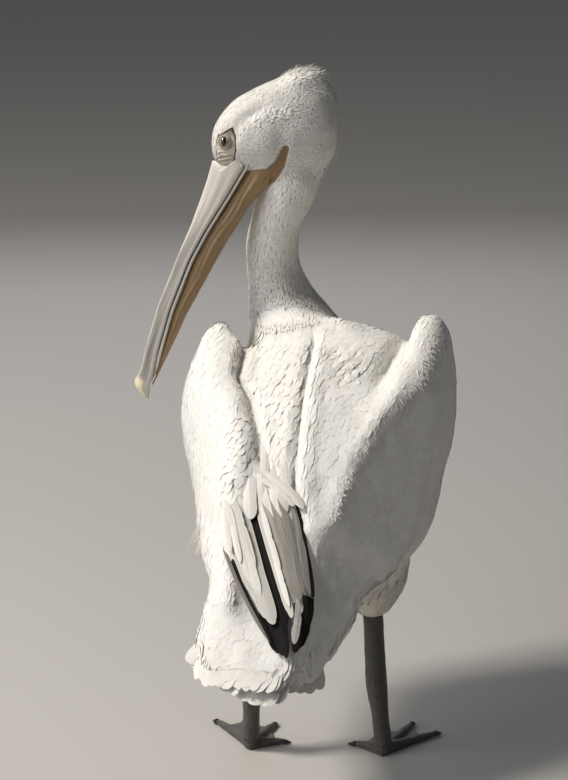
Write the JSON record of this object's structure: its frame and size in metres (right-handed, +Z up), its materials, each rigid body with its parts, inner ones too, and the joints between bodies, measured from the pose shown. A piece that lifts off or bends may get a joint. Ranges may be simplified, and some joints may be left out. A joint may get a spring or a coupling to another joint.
{
  "type": "standing pelican",
  "caption": "Life-size pelican standing at rest, head turned to look back over its left side, bill held down beside the neck, wings folded.",
  "frame": {"origin": "on the floor, under the middle of the standing bird's bounding box", "axes": "+Z up, the body faces -Y, the bird's left side is +X"},
  "size_m": [0.5034, 0.6872, 1.0459],
  "materials": {
    "plumage": "soft feathers",
    "flight_feathers": "smooth stiff feathers",
    "bill_horn": "satin horn",
    "pouch_skin": "bare skin",
    "eye": "wet gloss",
    "leg_skin": "scaly bare skin"
  },
  "bodies": {
    "root": {"trunk": "plumage", "wing_left": "plumage", "wing_right": "plumage", "wing_tip_left": "flight_feathers", "wing_tip_right": "flight_feathers", "tail": "plumage", "thigh_left": "plumage", "thigh_right": "plumage", "neck_lower": "plumage", "neck_middle": "plumage", "neck_upper": "plumage", "head": "plumage", "crest": "plumage", "eye_left": "eye", "eye_right": "eye", "bill_upper": "bill_horn", "bill_lower": "bill_horn", "pouch": "pouch_skin", "leg_left": "leg_skin", "leg_right": "leg_skin", "foot_left": "leg_skin", "foot_right": "leg_skin"}
  },
  "joints": []
}
